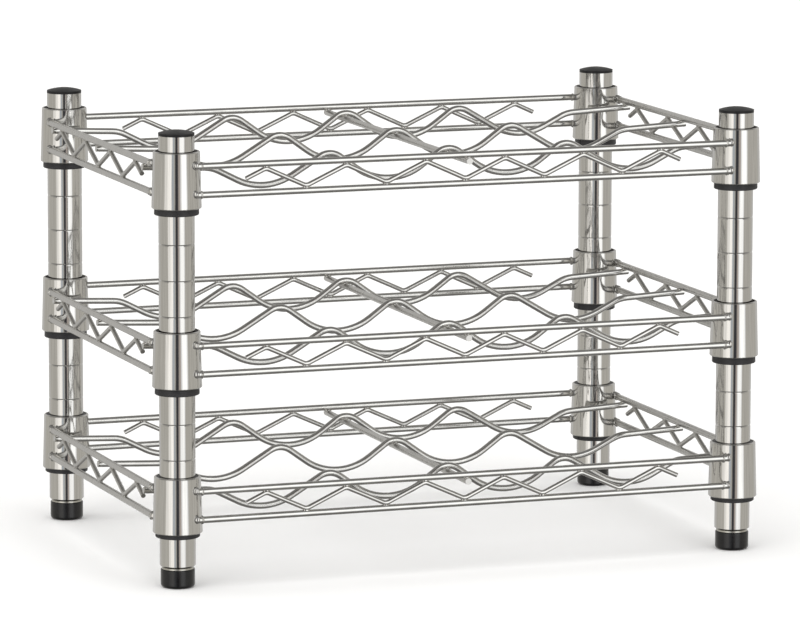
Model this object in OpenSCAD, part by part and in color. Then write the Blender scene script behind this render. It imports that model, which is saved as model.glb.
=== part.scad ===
// A three-shelf chrome wire rack for wine bottles.
// Four grooved posts carry three wire shelves. Each shelf is welded to four tapered
// collars, which drop onto split sleeves clipped round the posts. X is along the front,
// Y runs to the back and Z is up, from the floor midway between the four feet.

/* [Posts] */
// Outer diameter of the four posts
post_d = 25.4; // [24:0.1:27]
// Length of each post tube
post_length = 304.8; // [290:0.2:330]
// Wall thickness of the post tube
post_wall = 1.2; // [0.8:0.1:1.5]
// Distance between the grooves that the sleeves clip into
groove_pitch = 25.4; // [25:0.1:26]
// Depth of a groove
groove_depth = 0.3; // [0.2:0.05:0.5]
// Width of a groove at the post's surface
groove_width = 1.5; // [1:0.1:2]

/* [Shelves] */
// Width of a shelf over its side rods
shelf_width = 457.2; // [440:0.2:480]
// Depth of a shelf over its front and back rods
shelf_depth = 304.8; // [290:0.2:330]
// Groove that holds the bottom shelf, counted from the foot of the post
bottom_groove = 2; // [2:1:2]
// Groove that holds the middle shelf
middle_groove = 6; // [6:1:7]
// Groove that holds the top shelf
top_groove = 11; // [11:1:11]
// How far each shelf's collars have slid down their sleeves, bottom shelf first
shelf_settle = [1.8, 0, 0.4]; // [0:0.1:2]

/* [Collars and sleeves] */
// Height of a corner collar
collar_height = 40; // [38:0.5:43]
// Outer diameter of a collar at its top
collar_top_d = 33; // [32.8:0.1:34]
// Outer diameter of a collar at its bottom
collar_bottom_d = 35.2; // [35:0.1:36]
// Wall thickness of a collar
collar_wall = 1.6; // [1.4:0.1:1.7]
// Clearance between a collar and the sleeve inside it
collar_clearance = 0.3; // [0.3:0.05:0.4]
// How far a sleeve shows below its collar
sleeve_drop = 5; // [4:0.5:6]
// How far a sleeve stops short of its collar's top
sleeve_recess = 2; // [1:0.5:3]
// Gap between the two halves of a sleeve
sleeve_split = 0.6; // [0.4:0.1:1]

/* [Wires] */
// Diameter of the straight rods round the rim of a shelf
rod_d = 4.8; // [4.6:0.1:5]
// Depth of the upper rods below the collar's top
upper_rod_drop = 9.6; // [9:0.1:10]
// Distance between an upper rod and the lower rod beneath it
rod_spacing = 20.2; // [19.5:0.1:21]
// Diameter of the zigzag wires between the rods
zigzag_d = 3.4; // [3.2:0.1:3.6]
// Distance between the peaks of a zigzag wire
zigzag_pitch = 59.6; // [58:0.1:60]
// Bend radius of a zigzag wire
zigzag_bend = 5; // [4:0.5:6]
// Length of the free tail at each end of a zigzag wire
zigzag_tail = 14; // [13:0.5:16]
// Diameter of the wavy wires that hold the bottles
wave_d = 4.6; // [4.4:0.1:4.8]
// Distance between the peaks of a wavy wire
wave_pitch = 90; // [88:0.5:91]
// Height of a wave from its valleys to its peaks
wave_height = 19.4; // [18:0.1:20.5]
// Bend radius at the peaks
peak_bend = 14; // [12:0.5:16]
// Bend radius in the valleys
valley_bend = 42; // [40:0.5:44]
// How much further out the outermost valleys lie than an even pitch would put them
end_valley_shift = 5; // [4:0.5:6]
// How much deeper the outermost valleys are
end_valley_drop = 1.2; // [0:0.1:1.5]
// Slope of a wavy wire's ends, in degrees, down from the side rods
end_slope = 2.8; // [2:0.1:3]
// Distance between neighbouring wavy wires, front to back
wave_spacing = 110; // [110:0.5:112]
// Diameter of the bar under the middle of the shelf
centre_bar_d = 4.6; // [4.4:0.1:5]

/* [Feet] */
// Diameter of a foot
foot_d = 24.2; // [23:0.1:25]
// Height of a foot, without its metal flange
foot_height = 13.3; // [12:0.1:15]
// Thickness of the metal flange on top of a foot
flange_height = 1.5; // [0.8:0.1:2]
// Gap between the flange and the post when the foot is screwed in
foot_gap = 0.5; // [0.4:0.1:1]
// Diameter of the stud that a foot turns on
stud_d = 8; // [7:0.5:9]
// Length of the stud above the flange
stud_length = 32; // [30:1:36]

/* [Hidden] */
$fn = 64;
// Depth to which two welded wires sink into each other
weld = 0.3;
// Running clearance of one round piece inside another
fit = 0.06;
// The straights of a bent wire run this far into its bends, which are a hair thicker
joint_depth = 0.2;
joint_swell = 0.03;
post_r = post_d / 2;
bore_r = post_r - post_wall;
rod_r = rod_d / 2;
post_base = foot_height + flange_height + foot_gap;
// A sleeve's ridge lies this far below the top of a collar that hasn't settled
ridge_drop = 14.9;
// The rods lie against the outer side of the collars, and end beside the post's axis
rod_offset = 14.3;
rod_end = 9;
post_x = shelf_width / 2 - rod_r - rod_offset;
post_y = shelf_depth / 2 - rod_r - rod_offset;
rod_x = post_x + rod_offset;
rod_y = post_y + rod_offset;
// A wavy wire's last bends, beyond its outermost valleys
end_bend_x = 2 * wave_pitch + 4;
end_bend_r = 25;
// Wire ends stand this far outside the rod that they are welded to
wire_overhang = 1.6;
bar_overhang = 1;
// The zigzags sit a little off the middle: the front one to the left and the left one to the
// back. Those opposite are the same trusses turned half round
long_zigzag_shift = 1.8;
side_zigzag_shift = 3;
// Directions in which the sleeves' joints face, one for each corner
seam_turns = [0, 0, 20, -60];
corners = [[-1, -1], [1, -1], [1, 1], [-1, 1]];
corner_names = ["front_left", "front_right", "back_right", "back_left"];
shelf_names = ["bottom", "middle", "top"];
shelf_grooves = [bottom_groove, middle_groove, top_groove];
shelf_parts = [
    "collars", "sleeves", "front_rods", "back_rods", "left_rods", "right_rods",
    "front_zigzag", "back_zigzag", "left_zigzag", "right_zigzag",
    "centre_bar", "wave_front", "wave_middle", "wave_back"
];
post_parts = ["post", "cap", "foot", "foot_stud"];

chrome = [0.80, 0.80, 0.78];
satin = [0.66, 0.66, 0.65];
black = [0.10, 0.10, 0.10];

// Height of a shelf's collar tops above the floor, before they settle and as they sit
function unsettled_top(s) = post_base + shelf_grooves[s] * groove_pitch + ridge_drop;
function shelf_top(s) = unsettled_top(s) - shelf_settle[s];

// Outer radius of a collar at a depth below its top
function collar_r(depth) =
    (collar_top_d + (collar_bottom_d - collar_top_d) * depth / collar_height) / 2;

// A bend of a wire is [x, height of its crown, radius], in the XY plane. The radius is positive
// over a peak and negative in a valley. This is where a straight leg at an angle touches it
function touch_point(bend, angle) =
    [bend.x, bend.y - bend.z] + bend.z * [-sin(angle), cos(angle)];

// Angle of the straight leg from one bend to the next, which curves the other way
function leg_angle(a, b) =
    let (radii = abs(a.z) + abs(b.z), run = b.x - a.x, rise = abs(a.y - b.y))
        sign(-a.z) * (asin(radii / norm([run, radii - rise])) - atan2(radii - rise, run));

// Puts a copy at each of the four posts
module at_posts() {
    for (c = corners) translate([c.x * post_x, c.y * post_y, 0]) children();
}

// Puts a shape drawn in the XY plane upright, along X or along Y
module upright_along_x() { rotate([90, 0, 0]) children(); }
module upright_along_y() { rotate([90, 0, 90]) children(); }

// A round wire in the XY plane through a row of bends, with a straight tail at each end
module bent_wire(bends, tail, tail_angle, d) {
    last = len(bends) - 1;
    legs = [tail_angle, for (i = [1:last]) leg_angle(bends[i - 1], bends[i]), -tail_angle];
    union() {
        for (i = [0:last + 1]) {
            way = [cos(legs[i]), sin(legs[i])];
            from = touch_point(bends[max(i - 1, 0)], legs[i]) - way * (i == 0 ? tail : joint_depth);
            to = touch_point(bends[min(i, last)], legs[i]) + way * (i > last ? tail : joint_depth);
            translate([from.x, from.y, 0])
                rotate([0, 90, legs[i]])
                    cylinder(d = d, h = norm(to - from));
        }
        for (i = [0:last])
            translate([bends[i].x, bends[i].y - bends[i].z, 0])
                rotate([0, 0, min(legs[i], legs[i + 1]) + 90 * sign(bends[i].z)])
                    rotate_extrude(angle = abs(legs[i + 1] - legs[i]))
                        translate([abs(bends[i].z), 0]) circle(d = d + 2 * joint_swell);
    }
}

// A grooved tube, its lower edge broken and its upper edge covered by the cap
module post() {
    broken_edge = 0.6;
    groove_count = floor((post_length - groove_width) / groove_pitch);
    color(chrome)
        translate([0, 0, post_base])
            rotate_extrude()
                polygon([
                    [bore_r, 0],
                    [post_r - broken_edge, 0],
                    [post_r, broken_edge],
                    for (g = [1:groove_count])
                        for (p = [-1, 0, 1])
                            [post_r - (p == 0 ? groove_depth : 0), g * groove_pitch + p * groove_width / 2],
                    [post_r, post_length],
                    [bore_r, post_length]
                ]);
}

// A low domed cap with a hollow plug that presses into the top of a post
module cap() {
    rim = 1.9;
    dome = 2.1;
    plug = 11;
    plug_wall = 1.5;
    plug_r = bore_r - fit;
    // The plug's tip narrows by this much over three times its height
    lead_in = 0.5;
    // Sphere through the rim's edge and the top of the dome
    dome_r = (pow(post_r, 2) + pow(dome, 2)) / (2 * dome);
    dome_rings = 11;
    color(black)
        translate([0, 0, post_base + post_length])
            rotate_extrude()
                polygon([
                    [0, 0],
                    [plug_r - plug_wall, 0],
                    [plug_r - plug_wall, -plug],
                    [plug_r - lead_in, -plug],
                    [plug_r, -plug + 3 * lead_in],
                    [plug_r, 0],
                    [post_r, 0],
                    [post_r, rim],
                    for (i = [dome_rings - 1:-1:0])
                        let (r = post_r * i / dome_rings)
                            [r, rim + dome - dome_r + sqrt(pow(dome_r, 2) - pow(r, 2))]
                ]);
}

// A threaded plug in the foot of each post
module post_plugs() {
    plug_height = 14;
    color(satin)
        at_posts()
            translate([0, 0, post_base])
                difference() {
                    cylinder(r = bore_r - fit, h = plug_height);
                    translate([0, 0, -1]) cylinder(r = stud_d / 2 + fit, h = plug_height + 2);
                }
}

// The black foot: a round pad with softened edges
module foot() {
    lower_edge = 2.6;
    upper_edge = 1;
    foot_r = foot_d / 2;
    color(black)
        rotate_extrude()
            polygon([
                [0, 0],
                for (a = [0:10:90])
                    [foot_r - lower_edge * (1 - sin(a)), lower_edge * (1 - cos(a))],
                for (a = [0:15:90])
                    [foot_r - upper_edge * (1 - cos(a)), foot_height - upper_edge * (1 - sin(a))],
                [0, foot_height]
            ]);
}

// The metal flange on the foot and the stud that screws up into the post's plug
module foot_stud() {
    flange_r = foot_d / 2 - 0.8;
    flange_edge = 0.4;
    stud_r = stud_d / 2;
    stud_edge = 1;
    tip = flange_height + stud_length;
    color(chrome)
        translate([0, 0, foot_height])
            rotate_extrude()
                polygon([
                    [0, 0],
                    [flange_r, 0],
                    [flange_r, flange_height - flange_edge],
                    [flange_r - flange_edge, flange_height],
                    [stud_r, flange_height],
                    [stud_r, tip - stud_edge],
                    [stud_r - stud_edge, tip],
                    [0, tip]
                ]);
}

// The four tapered corner tubes of a shelf
module collars(s) {
    lip = 0.6;
    top_r = collar_top_d / 2;
    bottom_r = collar_bottom_d / 2;
    color(chrome)
        at_posts()
            translate([0, 0, shelf_top(s) - collar_height])
                rotate_extrude()
                    polygon([
                        [bottom_r - collar_wall, 0],
                        [bottom_r - lip, 0],
                        [bottom_r, lip],
                        [top_r, collar_height - lip],
                        [top_r - lip, collar_height],
                        [top_r - collar_wall, collar_height]
                    ]);
}

// The split sleeves inside the collars: two halves to a post, with a ridge in its groove
module sleeves(s) {
    height = collar_height + sleeve_drop - sleeve_recess;
    inner_r = post_r + fit;
    ridge = groove_depth - 0.1;
    ridge_at = collar_height + sleeve_drop - ridge_drop;
    ridge_half = groove_width / 2 - 0.1;
    gap = collar_wall + collar_clearance;
    foot_r = collar_r(collar_height + sleeve_drop - shelf_settle[s]) - gap;
    foot_edge = 0.5;
    tip_r = collar_r(sleeve_recess - shelf_settle[s]) - gap;
    base = unsettled_top(s) - collar_height - sleeve_drop;
    half_split = asin(sleeve_split / 2 / post_r);
    color(black)
        for (i = [0:3], half = [0, 180])
            translate([corners[i].x * post_x, corners[i].y * post_y, base])
                rotate([0, 0, seam_turns[i] + half + half_split])
                    rotate_extrude(angle = 180 - 2 * half_split)
                        polygon([
                            [inner_r, 0],
                            [foot_r - foot_edge, 0],
                            [foot_r, foot_edge],
                            [tip_r, height],
                            [inner_r, height],
                            [inner_r, ridge_at + ridge_half],
                            [inner_r - ridge, ridge_at],
                            [inner_r, ridge_at - ridge_half]
                        ]);
}

// The upper and lower rods of one side, their ends let into the collars
module rod_pair(s, length, post_gap) {
    for (drop = [upper_rod_drop, upper_rod_drop + rod_spacing])
        difference() {
            translate([-length / 2, 0, shelf_top(s) - drop])
                rotate([0, 90, 0]) cylinder(d = rod_d, h = length);
            for (side = [-1, 1])
                translate([side * post_gap / 2, rod_offset, shelf_top(s) - drop - rod_d])
                    cylinder(
                        r1 = collar_r(drop + rod_d) - 2 * weld,
                        r2 = collar_r(drop - rod_d) - 2 * weld,
                        h = 2 * rod_d
                    );
        }
}
module long_rods(s, side) {
    color(chrome)
        rotate([0, 0, side < 0 ? 0 : 180])
            translate([0, -rod_y, 0]) rod_pair(s, 2 * (post_x - rod_end), 2 * post_x);
}
module side_rods(s, side) {
    color(satin)
        rotate([0, 0, side < 0 ? -90 : 90])
            translate([0, -rod_x, 0]) rod_pair(s, 2 * (post_y - rod_end), 2 * post_y);
}

// A zigzag wire between an upper and a lower rod, with an odd number of bends and free tails
module zigzag(s, bend_count) {
    touch = rod_r + zigzag_d / 2 - weld;
    peak = shelf_top(s) - upper_rod_drop - touch;
    valley = shelf_top(s) - upper_rod_drop - rod_spacing + touch;
    bends = [
        for (i = [0:bend_count - 1])
            [
                (i - (bend_count - 1) / 2) * zigzag_pitch / 2,
                i % 2 == 0 ? peak : valley,
                i % 2 == 0 ? zigzag_bend : -zigzag_bend
            ]
    ];
    bent_wire(bends, zigzag_tail, -leg_angle(bends[0], bends[1]), zigzag_d);
}
module long_zigzag(s, side) {
    color(chrome)
        rotate([0, 0, side < 0 ? 0 : 180])
            translate([-long_zigzag_shift, -rod_y, 0]) upright_along_x() zigzag(s, 11);
}
module side_zigzag(s, side) {
    color(satin)
        rotate([0, 0, side < 0 ? 0 : 180])
            translate([-rod_x, side_zigzag_shift, 0]) upright_along_y() zigzag(s, 7);
}

// The bar from front to back under the middle peaks, welded beneath the upper rods
function bar_z(s) = shelf_top(s) - upper_rod_drop - rod_r - centre_bar_d / 2 + weld;
module centre_bar(s) {
    length = 2 * (rod_y + rod_r + bar_overhang);
    color(satin)
        translate([0, length / 2, bar_z(s)]) rotate([90, 0, 0]) cylinder(d = centre_bar_d, h = length);
}

// A bend of a wave: peaks at the even places and valleys at the odd ones, deeper at the ends
function wave_bend(i, peak) =
    let (x = i * wave_pitch / 2, outermost = abs(i) == 3 ? 1 : 0)
        i % 2 == 0
            ? [x, peak, peak_bend]
            : [
                x + sign(i) * outermost * end_valley_shift,
                peak - wave_height - outermost * end_valley_drop,
                -valley_bend
            ];

// A wavy wire along the shelf: four valleys for bottles, and ends that rise to the side rods
module wave(s, y) {
    peak = bar_z(s) + centre_bar_d / 2 + wave_d / 2 - weld;
    under_rod = shelf_top(s) - upper_rod_drop - rod_r - wave_d / 2 + weld;
    end_bend = [end_bend_x, under_rod - (rod_x - end_bend_x) * tan(end_slope), end_bend_r];
    bends = [
        [-end_bend.x, end_bend.y, end_bend.z],
        for (i = [-3:3]) wave_bend(i, peak),
        end_bend
    ];
    tail = (rod_x + rod_r + wire_overhang - end_bend.x) / cos(end_slope);
    color(chrome)
        translate([0, y, 0])
            upright_along_x()
                bent_wire(bends, tail, -end_slope, wave_d);
}

// Draws one named piece of a shelf
module shelf_part(s, part) {
    if (part == "collars") collars(s);
    if (part == "sleeves") sleeves(s);
    if (part == "front_rods") long_rods(s, -1);
    if (part == "back_rods") long_rods(s, 1);
    if (part == "left_rods") side_rods(s, -1);
    if (part == "right_rods") side_rods(s, 1);
    if (part == "front_zigzag") long_zigzag(s, -1);
    if (part == "back_zigzag") long_zigzag(s, 1);
    if (part == "left_zigzag") side_zigzag(s, -1);
    if (part == "right_zigzag") side_zigzag(s, 1);
    if (part == "centre_bar") centre_bar(s);
    if (part == "wave_front") wave(s, -wave_spacing);
    if (part == "wave_middle") wave(s, 0);
    if (part == "wave_back") wave(s, wave_spacing);
}

// Draws one named piece of a post
module post_part(corner, part) {
    translate([corner.x * post_x, corner.y * post_y, 0]) {
        if (part == "post") post();
        if (part == "cap") cap();
        if (part == "foot") foot();
        if (part == "foot_stud") foot_stud();
    }
}

for (s = [0:2], part = shelf_parts)
    shelf_part(s, part);
for (i = [0:3], part = post_parts)
    post_part(corners[i], part);
post_plugs();
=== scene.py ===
import math

import bmesh
import bpy
from mathutils import Matrix, Vector, noise


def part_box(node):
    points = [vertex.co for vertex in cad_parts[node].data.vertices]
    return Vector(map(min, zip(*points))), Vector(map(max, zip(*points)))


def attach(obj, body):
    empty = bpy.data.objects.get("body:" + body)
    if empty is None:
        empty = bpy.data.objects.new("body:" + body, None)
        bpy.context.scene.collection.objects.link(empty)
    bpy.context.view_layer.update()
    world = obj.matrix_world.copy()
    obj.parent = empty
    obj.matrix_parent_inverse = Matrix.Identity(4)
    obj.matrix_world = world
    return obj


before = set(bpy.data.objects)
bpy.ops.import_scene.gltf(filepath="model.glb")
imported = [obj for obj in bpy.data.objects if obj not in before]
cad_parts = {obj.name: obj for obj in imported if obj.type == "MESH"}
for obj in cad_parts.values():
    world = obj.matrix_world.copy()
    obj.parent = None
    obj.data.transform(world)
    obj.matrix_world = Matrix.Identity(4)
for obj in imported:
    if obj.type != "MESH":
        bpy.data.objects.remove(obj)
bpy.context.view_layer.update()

MM = 0.001

# ---------------------------------------------------------------- camera

CAMERA_PLACE = Vector((-1.4329, -3.9473, 0.8173))
CAMERA_AZIMUTH = math.radians(-20.003)
CAMERA_ELEVATION = math.radians(8.842)
CAMERA_ROLL = math.radians(0.138)
CAMERA_LENS = 260.4
CAMERA_SHIFT = (-0.0008, -0.0022)


def make_camera():
    """The camera, on a long lens, to the left of the front."""
    data = bpy.data.cameras.new("camera")
    data.lens = CAMERA_LENS
    data.sensor_width = 36.0
    data.shift_x, data.shift_y = CAMERA_SHIFT
    data.clip_start, data.clip_end = 0.1, 100.0
    camera = bpy.data.objects.new("camera", data)
    bpy.context.scene.collection.objects.link(camera)
    back = Vector((
        math.sin(CAMERA_AZIMUTH) * math.cos(CAMERA_ELEVATION),
        -math.cos(CAMERA_AZIMUTH) * math.cos(CAMERA_ELEVATION),
        math.sin(CAMERA_ELEVATION),
    ))
    right = Vector((math.cos(CAMERA_AZIMUTH), math.sin(CAMERA_AZIMUTH), 0.0))
    up = back.cross(right)
    turn = Matrix((right, up, back)).transposed()
    turn = Matrix.Rotation(CAMERA_ROLL, 3, back) @ turn
    camera.matrix_world = Matrix.Translation(CAMERA_PLACE) @ turn.to_4x4()
    bpy.context.scene.camera = camera


# ---------------------------------------------------------------- node helpers


# The colour sockets of a Mix node, which has sockets of the same names for other types
MIX_COLOURS_IN, MIX_COLOUR_OUT = (6, 7), 2


class Nodes:
    """Short calls for building a node tree."""

    def __init__(self, tree):
        self.tree = tree
        tree.nodes.clear()

    def add(self, kind, settings=None, **inputs):
        node = self.tree.nodes.new(kind)
        for key, value in (settings or {}).items():
            setattr(node, key, value)
        for key, value in inputs.items():
            self.put(node, key, value)
        return node

    def put(self, node, key, value):
        """Sets or links an input: Base_Color is the one named Base Color, and _0 is the first."""
        name = key[1:] if key.startswith("_") else key.replace("_", " ")
        socket = node.inputs[int(name)] if name.isdigit() else node.inputs[name]
        if isinstance(value, bpy.types.NodeSocket):
            self.tree.links.new(value, socket)
        else:
            socket.default_value = value

    def math(self, operation, a, b=0.0, c=0.0):
        node = self.add("ShaderNodeMath", {"operation": operation}, _0=a, _1=b, _2=c)
        return node.outputs[0]

    def dot(self, a, b):
        node = self.add("ShaderNodeVectorMath", {"operation": "DOT_PRODUCT"}, _0=a, _1=b)
        return node.outputs["Value"]

    def step(self, value, low, high, to_low=0.0, to_high=1.0):
        node = self.add(
            "ShaderNodeMapRange",
            {"interpolation_type": "SMOOTHSTEP"},
            Value=value, From_Min=low, From_Max=high, To_Min=to_low, To_Max=to_high,
        )
        return node.outputs["Result"]

    def blend(self, factor, a, b):
        node = self.add("ShaderNodeMix", {"data_type": "RGBA"}, Factor=factor)
        for index, value in zip(MIX_COLOURS_IN, (a, b)):
            if isinstance(value, bpy.types.NodeSocket):
                self.tree.links.new(value, node.inputs[index])
            else:
                node.inputs[index].default_value = (*value, 1.0)
        return node.outputs[MIX_COLOUR_OUT]

    def noise(self, vector, scale, detail=3.0):
        node = self.add(
            "ShaderNodeTexNoise", Vector=vector, Scale=scale, Detail=detail, Roughness=0.5
        )
        return node.outputs["Fac"]

    def stretched(self, vector, scale):
        node = self.add("ShaderNodeMapping", Vector=vector, Scale=scale)
        return node.outputs["Vector"]

    def bump(self, height, distance, normal=None):
        node = self.add("ShaderNodeBump", Height=height, Distance=distance, Strength=1.0)
        if normal is not None:
            self.put(node, "Normal", normal)
        return node.outputs["Normal"]


# ---------------------------------------------------------------- studio

CEILING = (0.22, 0.215, 0.205)
WALLS = (0.54, 0.52, 0.475)
GROUND = (0.20, 0.195, 0.185)
# The heights, in degrees, at which the walls begin and have finished turning into those
CEILING_FROM, CEILING_FULL = 10, 45
GROUND_FROM, GROUND_FULL = -15, -45
# What the camera itself sees behind the rack
BACKGROUND = (1.0, 1.0, 1.0)

# What stands around the rack: degrees to the right of the camera, half its width, its soft edge,
# its middle height and half height in degrees, the soft edge of those, and its colour.
PANELS = {
    "backdrop": (180, 44, 16, 0, 30, 20, (0.60, 0.59, 0.57)),
    "far_wall": (180, 7, 9, -9, 14, 12, (0.34, 0.33, 0.32)),
    "left_softbox": (-36, 17, 5, 8, 25, 22, (1.00, 0.97, 0.92)),
    "left_core": (-30, 6, 8, 8, 22, 20, (1.30, 1.26, 1.20)),
    "left_inner": (-15, 3, 5, 8, 25, 22, (0.50, 0.53, 0.56)),
    "right_softbox": (36, 16, 6, 8, 25, 22, (0.98, 0.98, 0.98)),
    "right_inner": (14, 4, 5, 8, 25, 22, (0.52, 0.46, 0.42)),
    "right_core": (38, 8, 8, 12, 14, 18, (1.60, 1.60, 1.57)),
    "camera_gap": (3, 4, 7, -5, 60, 25, (0.05, 0.05, 0.055)),
}


def make_world():
    """The studio as the chrome sees it: soft boxes beside the camera, and plain pale walls."""
    world = bpy.data.worlds.new("studio")
    bpy.context.scene.world = world
    world.use_nodes = True
    n = Nodes(world.node_tree)
    way = n.add("ShaderNodeTexCoord").outputs["Generated"]
    front = Vector((math.sin(CAMERA_AZIMUTH), -math.cos(CAMERA_AZIMUTH), 0.0))
    right = Vector((math.cos(CAMERA_AZIMUTH), math.sin(CAMERA_AZIMUTH), 0.0))
    turn = n.math("ARCTAN2", n.dot(way, right), n.dot(way, front))
    height = n.math("ARCSINE", n.dot(way, Vector((0.0, 0.0, 1.0))))
    upper = n.step(height, math.radians(CEILING_FROM), math.radians(CEILING_FULL))
    lower = n.step(height, math.radians(GROUND_FROM), math.radians(GROUND_FULL))
    colour = n.blend(lower, n.blend(upper, WALLS, CEILING), GROUND)
    for middle, half, edge, level, tall, fade, tone in PANELS.values():
        across = n.math("SUBTRACT", turn, math.radians(middle))
        across = n.math("ABSOLUTE", n.math("WRAP", across, math.pi, -math.pi))
        upward = n.math("ABSOLUTE", n.math("SUBTRACT", height, math.radians(level)))
        inside_across = n.step(across, math.radians(half + edge), math.radians(half))
        inside_upward = n.step(upward, math.radians(tall + fade), math.radians(tall))
        colour = n.blend(n.math("MULTIPLY", inside_across, inside_upward), colour, tone)
    seen = n.add("ShaderNodeLightPath").outputs["Is Camera Ray"]
    colour = n.blend(seen, colour, BACKGROUND)
    light = n.add("ShaderNodeBackground", Color=colour, Strength=1.0)
    output = n.add("ShaderNodeOutputWorld")
    n.put(output, "Surface", light.outputs[0])


def make_light():
    """A broad, even light from overhead, left out of glossy reflections."""
    data = bpy.data.lights.new("overhead", "SUN")
    data.energy = 2.9
    data.angle = math.radians(100)
    lamp = bpy.data.objects.new("overhead", data)
    bpy.context.scene.collection.objects.link(lamp)
    lamp.rotation_euler = (math.radians(12), math.radians(-10), 0.0)
    lamp.visible_glossy = False


FLOOR_TONES = (0.90, 0.90, 0.90), (0.92, 0.92, 0.92)
FLOOR_HALF_SIDE = 30.0
FLOOR_GAP = 0.05 * MM


def floor_finish():
    """Matt pale board."""
    material = bpy.data.materials.new("pale_floor")
    material.use_nodes = True
    n = Nodes(material.node_tree)
    place = n.add("ShaderNodeTexCoord").outputs["Object"]
    tone = n.blend(n.noise(place, 3.0), *FLOOR_TONES)
    shader = n.add("ShaderNodeBsdfPrincipled", Base_Color=tone, Roughness=0.9)
    output = n.add("ShaderNodeOutputMaterial")
    n.put(output, "Surface", shader.outputs[0])
    return material


def make_floor():
    """A wide square just under the feet."""
    side = FLOOR_HALF_SIDE
    mesh = bpy.data.meshes.new("floor")
    corners = [(-side, -side, 0), (side, -side, 0), (side, side, 0), (-side, side, 0)]
    mesh.from_pydata(corners, [], [(0, 1, 2, 3)])
    floor = bpy.data.objects.new("floor", mesh)
    bpy.context.scene.collection.objects.link(floor)
    mesh.materials.append(floor_finish())
    floor.location.z = -FLOOR_GAP
    floor.visible_glossy = False


# ---------------------------------------------------------------- finishes

# Noise scales, per metre
TUBE_STREAKS, TUBE_BLOTCHES, TUBE_PEEL = 900.0, 60.0, 350.0
WIRE_BLOTCHES, WIRE_GRAIN = 110.0, 1600.0
ZINC_GRAIN = 500.0
MOULD_CELLS, MOULD_DRIFT = 2600.0, 120.0
# How far a tube's streaks are drawn out along it, as a factor on its heights
STREAK_STRETCH = (1.0, 1.0, 0.02)
# Depths of the bumps
STREAK_DEPTH, PEEL_DEPTH = 0.002 * MM, 0.004 * MM
BLOTCH_DEPTH = 0.02 * MM
ZINC_DEPTH = 0.012 * MM
CELL_DEPTH, DRIFT_DEPTH = 0.02 * MM, 0.03 * MM
# The ribs round a sleeve
RIB_PITCH, RIB_DEPTH = 1.2 * MM, 0.05 * MM


def finish_of(name, build):
    """A material whose nodes build(n, place) makes; it gives the shader's settings."""
    material = bpy.data.materials.new(name)
    material.use_nodes = True
    n = Nodes(material.node_tree)
    place = n.add("ShaderNodeTexCoord").outputs["Object"]
    shader = n.add("ShaderNodeBsdfPrincipled", **build(n, place))
    output = n.add("ShaderNodeOutputMaterial")
    n.put(output, "Surface", shader.outputs[0])
    return material


def polished_tube(n, place):
    """Bright chrome over a drawn tube: streaks along its length, and a faint orange peel."""
    streaks = n.noise(n.stretched(place, STREAK_STRETCH), TUBE_STREAKS, 4.0)
    blotches = n.noise(place, TUBE_BLOTCHES, 4.0)
    tone = n.blend(n.step(streaks, 0.3, 0.7), (0.64, 0.635, 0.62), (0.72, 0.715, 0.70))
    streaky = n.step(streaks, 0.25, 0.75, 0.03, 0.09)
    blotchy = n.step(blotches, 0.3, 0.8, 0.0, 0.03)
    peel = n.bump(n.noise(place, TUBE_PEEL, 2.0), PEEL_DEPTH)
    return {
        "Base_Color": tone, "Metallic": 1.0, "Roughness": n.math("ADD", streaky, blotchy),
        "Normal": n.bump(streaks, STREAK_DEPTH, normal=peel),
    }


def plated_wire(tone_low, tone_high, rough_low, rough_high, grain_rough, grain_depth):
    """Chrome over drawn wire, its surface slightly uneven under the plating.

    The first four are the tones and roughness of its blotches, and the last two what its fine
    grain adds to that roughness at most and how deep it is.
    """
    def build(n, place):
        blotches = n.noise(place, WIRE_BLOTCHES, 3.0)
        grain = n.noise(place, WIRE_GRAIN, 3.0)
        tone = n.blend(n.step(blotches, 0.3, 0.7), tone_low, tone_high)
        blotchy = n.step(blotches, 0.3, 0.7, rough_low, rough_high)
        grainy = n.step(grain, 0.3, 0.8, 0.0, grain_rough)
        uneven = n.bump(blotches, BLOTCH_DEPTH)
        return {
            "Base_Color": tone, "Metallic": 1.0, "Roughness": n.math("ADD", blotchy, grainy),
            "Normal": n.bump(grain, grain_depth, normal=uneven),
        }
    return build


def zinc_steel(n, place):
    """Plain plated steel, greyer and duller than chrome."""
    grain = n.noise(place, ZINC_GRAIN, 5.0)
    tone = n.blend(n.step(grain, 0.3, 0.7), (0.55, 0.54, 0.50), (0.68, 0.67, 0.62))
    return {
        "Base_Color": tone, "Metallic": 1.0, "Roughness": n.step(grain, 0.3, 0.8, 0.25, 0.40),
        "Normal": n.bump(grain, ZINC_DEPTH),
    }


def moulded_plastic(tone_low, tone_high, rough_low, rough_high, specular, rib_depth=0.0):
    """Black plastic with the fine grain of its mould, and with ribs round it where asked."""
    def build(n, place):
        cells = n.add("ShaderNodeTexVoronoi", Vector=place, Scale=MOULD_CELLS)
        drift = n.noise(place, MOULD_DRIFT, 4.0)
        tone = n.blend(n.step(drift, 0.3, 0.7), tone_low, tone_high)
        rough = n.step(drift, 0.3, 0.7, rough_low, rough_high)
        normal = n.bump(cells.outputs["Distance"], CELL_DEPTH)
        normal = n.bump(drift, DRIFT_DEPTH, normal=normal)
        if rib_depth:
            up = n.add("ShaderNodeSeparateXYZ", Vector=place).outputs["Z"]
            wave = n.math("SINE", n.math("MULTIPLY", up, 2 * math.pi / RIB_PITCH))
            normal = n.bump(wave, rib_depth, normal=normal)
        return {
            "Base_Color": tone, "Roughness": rough, "Specular_IOR_Level": specular,
            "Normal": normal,
        }
    return build


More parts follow.
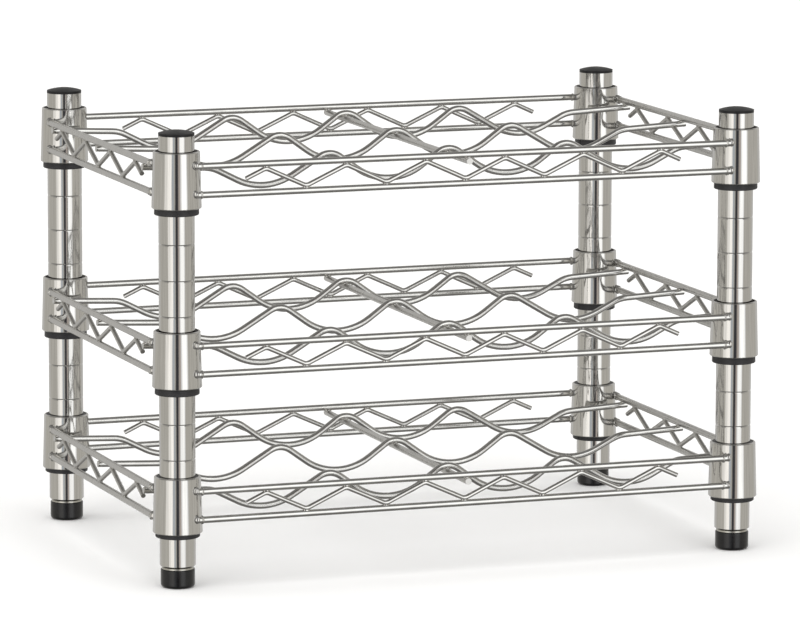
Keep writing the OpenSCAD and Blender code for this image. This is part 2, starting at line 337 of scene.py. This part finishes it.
FINISHES = {
    "post_chrome": polished_tube,
    "collar_chrome": polished_tube,
    "wire_chrome": plated_wire(
        (0.64, 0.635, 0.62), (0.71, 0.705, 0.69), 0.08, 0.12, 0.03, 0.0012 * MM
    ),
    "wire_satin": plated_wire(
        (0.60, 0.595, 0.58), (0.66, 0.655, 0.64), 0.24, 0.30, 0.04, 0.002 * MM
    ),
    "stud_steel": zinc_steel,
    "sleeve_black": moulded_plastic(
        (0.020, 0.020, 0.022), (0.028, 0.028, 0.030), 0.38, 0.5, 0.4, RIB_DEPTH
    ),
    "cap_black": moulded_plastic(
        (0.011, 0.011, 0.012), (0.016, 0.016, 0.017), 0.38, 0.5, 0.25
    ),
    "foot_black": moulded_plastic(
        (0.005, 0.005, 0.006), (0.009, 0.009, 0.010), 0.16, 0.24, 0.5
    ),
}


def dress_cad(finishes):
    """Each CAD node takes the finish of its material slot."""
    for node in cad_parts.values():
        for holder in node.material_slots:
            holder.material = finishes[holder.material.name]


# ---------------------------------------------------------------- welds and rod ends

SHELVES = ("bottom", "middle", "top")
# Each side with the axis its rods run along
SIDES = (("front", 0), ("back", 0), ("left", 1), ("right", 1))
X, Y, Z = (Vector(row) for row in Matrix.Identity(3))

# Half lengths of the beads of weld metal: along the wire or rod, across it, and upwards
BEND_WELD = (2.5 * MM, 1.9 * MM, 1.15 * MM)
WAVE_WELD = (2.5 * MM, 2.2 * MM, 1.2 * MM)
BAR_WELD = (2.7 * MM, 2.2 * MM, 1.2 * MM)
ROD_TIP = (2.3 * MM, 2.75 * MM, 3.0 * MM)
ROD_WELD = (1.5 * MM, 2.8 * MM, 3.0 * MM)
# How far lumps raise or lower a bead's surface, as a share of its size
LUMPS, TIP_LUMPS, ROD_WELD_LUMPS = 0.16, 0.14, 0.25
# How fine the lumps are over a bead, and, per metre, how fast they change from bead to bead
LUMP_SCALE, LUMP_CHANGE = 1.3, 900.0
# How far a rod's tip and its weld lie from its end, and how far the tip is turned up
TIP_INSET, WELD_INSET, TIP_RISE = 0.9 * MM, 4.6 * MM, 0.4 * MM
# Where wires cross, they sink this far into each other
SINK = 0.15 * MM
# A wire's bends lie further apart than this, and their crowns are found to this depth
BEND_GAP, CROWN_DEPTH = 8 * MM, 0.25 * MM
# Radius of a collar's rounded edge, and the numbers of faces over it and round the collar
LIP, LIP_STEPS, RING_STEPS = 0.9 * MM, 8, 96
# Where the skin of that edge starts and ends, hidden in the collar's wall: how far inside the
# wall's face and how far from the collar's end, in radii of the edge
LIP_START, LIP_END = (0.4, 1.6), (1.3, 0.3)


def middle_of(node):
    """The middle of a CAD node's box."""
    low, high = (Vector(corner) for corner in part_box(node))
    return (low + high) / 2


def bends_of(node, axis, upper):
    """Where a wire's crowns lie along an axis (0 or 1): the highest or the lowest of its mesh."""
    low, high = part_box(node)
    level = high[2] if upper else low[2]
    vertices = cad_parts[node].data.vertices
    found = sorted(v.co[axis] for v in vertices if abs(v.co[2] - level) < CROWN_DEPTH)
    groups = [[found[0]]]
    for place in found[1:]:
        if place - groups[-1][-1] > BEND_GAP:
            groups.append([])
        groups[-1].append(place)
    return [(group[0] + group[-1]) / 2 for group in groups]


def bead(bm, place, sizes, along, lumps=LUMPS):
    """A blob of weld metal with these half lengths, the first of them along this direction."""
    across = Z.cross(along)
    for v in bmesh.ops.create_icosphere(bm, subdivisions=3, radius=1.0)["verts"]:
        shape = v.co.normalized()
        swell = 1.0 + lumps * noise.noise(shape * LUMP_SCALE + place * LUMP_CHANGE)
        reach = along * shape.x * sizes[0] + across * shape.y * sizes[1] + Z * shape.z * sizes[2]
        v.co = place + swell * reach


def add_piece(name, bm, body, slot, finishes):
    """Turns the mesh built so far into a smooth piece that rides on a body."""
    mesh = bpy.data.meshes.new(name)
    bm.to_mesh(mesh)
    bm.free()
    mesh.polygons.foreach_set("use_smooth", [True] * len(mesh.polygons))
    mesh.materials.append(finishes[slot])
    piece = bpy.data.objects.new(name, mesh)
    bpy.context.scene.collection.objects.link(piece)
    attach(piece, body)


def rods_of(shelf, side, axis):
    """A side's rods: their middle, radius, the heights of their axes, and their two ends."""
    low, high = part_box(f"{shelf}_{side}_rods")
    radius = (high[1 - axis] - low[1 - axis]) / 2
    heights = (high[2] - radius, low[2] + radius)
    return middle_of(f"{shelf}_{side}_rods"), radius, heights, (low[axis], high[axis])


def zigzag_welds(shelf, finishes):
    """The metal squeezed out where each bend of a zigzag meets its rod."""
    for side, axis in SIDES:
        bm = bmesh.new()
        wire = f"{shelf}_{side}_zigzag"
        low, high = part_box(wire)
        place = rods_of(shelf, side, axis)[0]
        for upper in (True, False):
            place.z = high[2] - SINK if upper else low[2] + SINK
            for bend in bends_of(wire, axis, upper):
                place[axis] = bend
                bead(bm, place, BEND_WELD, (X, Y)[axis])
        slot = "wire_chrome" if axis == 0 else "wire_satin"
        add_piece(f"{shelf}_{side}_zigzag_welds", bm, f"{shelf}_shelf", slot, finishes)


def wave_welds(shelf, finishes):
    """Where the wavy wires meet the bar and the side rods, and the bar meets its rods."""
    bm = bmesh.new()
    bar_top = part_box(f"{shelf}_centre_bar")[1][2]
    rods = {side: rods_of(shelf, side, axis) for side, axis in SIDES}
    for wire in ("front", "middle", "back"):
        y = middle_of(f"{shelf}_wave_{wire}").y
        bead(bm, Vector((0.0, y, bar_top - SINK)), WAVE_WELD, Y)
        for middle, radius, heights, _ in (rods["left"], rods["right"]):
            bead(bm, Vector((middle.x, y, heights[0] - radius)), WAVE_WELD, Y)
    for middle, radius, heights, _ in (rods["front"], rods["back"]):
        bead(bm, Vector((0.0, middle.y, heights[0] - radius)), BAR_WELD, X)
    add_piece(f"{shelf}_wave_welds", bm, f"{shelf}_shelf", "wire_chrome", finishes)


def rod_ends(shelf, finishes):
    """The rounded tip of each rod, and the weld that holds it to its collar just before that."""
    bm = bmesh.new()
    for side, axis in SIDES:
        middle, _, heights, (low, high) = rods_of(shelf, side, axis)
        for height in heights:
            for end, inward in ((low, 1), (high, -1)):
                tip, weld = middle.copy(), middle.copy()
                tip.z, weld.z = height + TIP_RISE, height
                tip[axis] = end + inward * TIP_INSET
                weld[axis] = end + inward * WELD_INSET
                bead(bm, tip, ROD_TIP, (X, Y)[axis], TIP_LUMPS)
                bead(bm, weld, ROD_WELD, (X, Y)[axis], ROD_WELD_LUMPS)
    add_piece(f"{shelf}_rod_ends", bm, f"{shelf}_shelf", "wire_chrome", finishes)


def ring(bm, middle, profile):
    """A turned skin round a vertical line, from the points (radius, height) of its profile."""
    rows = []
    for r, z in profile:
        row = []
        for i in range(RING_STEPS):
            turn = 2 * math.pi * i / RING_STEPS
            x, y = middle.x + r * math.cos(turn), middle.y + r * math.sin(turn)
            row.append(bm.verts.new((x, y, z)))
        rows.append(row)
    for a, b in zip(rows, rows[1:]):
        for i in range(RING_STEPS):
            j = (i + 1) % RING_STEPS
            bm.faces.new((a[i], a[j], b[j], b[i]))


def wall_radius(shelf, level):
    """Outer radius of a shelf's collars just inside their edge at this height."""
    post = middle_of("post_back_right")
    vertices = (v.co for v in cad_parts[f"{shelf}_collars"].data.vertices)
    return max(
        math.hypot(v.x - post.x, v.y - post.y)
        for v in vertices
        if v.x > 0 and v.y > 0 and LIP / 3 < abs(v.z - level) < LIP
    )


def collar_lips(shelf, finishes):
    """The rounded edges at the top and bottom of each collar."""
    bm = bmesh.new()
    low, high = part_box(f"{shelf}_collars")
    for level, sign in ((high[2], 1), (low[2], -1)):
        r = wall_radius(shelf, level)
        turns = [math.pi / 2 * i / LIP_STEPS for i in range(LIP_STEPS + 1)]
        arc = [(1 - math.cos(turn), 1 - math.sin(turn)) for turn in turns]
        profile = [
            (r - LIP * inward, level - sign * LIP * down)
            for inward, down in (LIP_START, *arc, LIP_END)
        ]
        for corner in ("front_left", "front_right", "back_right", "back_left"):
            ring(bm, middle_of(f"post_{corner}"), profile)
    bmesh.ops.recalc_face_normals(bm, faces=bm.faces)
    add_piece(f"{shelf}_collar_lips", bm, f"{shelf}_shelf", "collar_chrome", finishes)


make_camera()
make_world()
make_light()
make_floor()
FINISHED = {name: finish_of(name + "_finish", build) for name, build in FINISHES.items()}
dress_cad(FINISHED)
for name in SHELVES:
    zigzag_welds(name, FINISHED)
    wave_welds(name, FINISHED)
    rod_ends(name, FINISHED)
    collar_lips(name, FINISHED)
bpy.context.scene.view_settings.view_transform = "Standard"
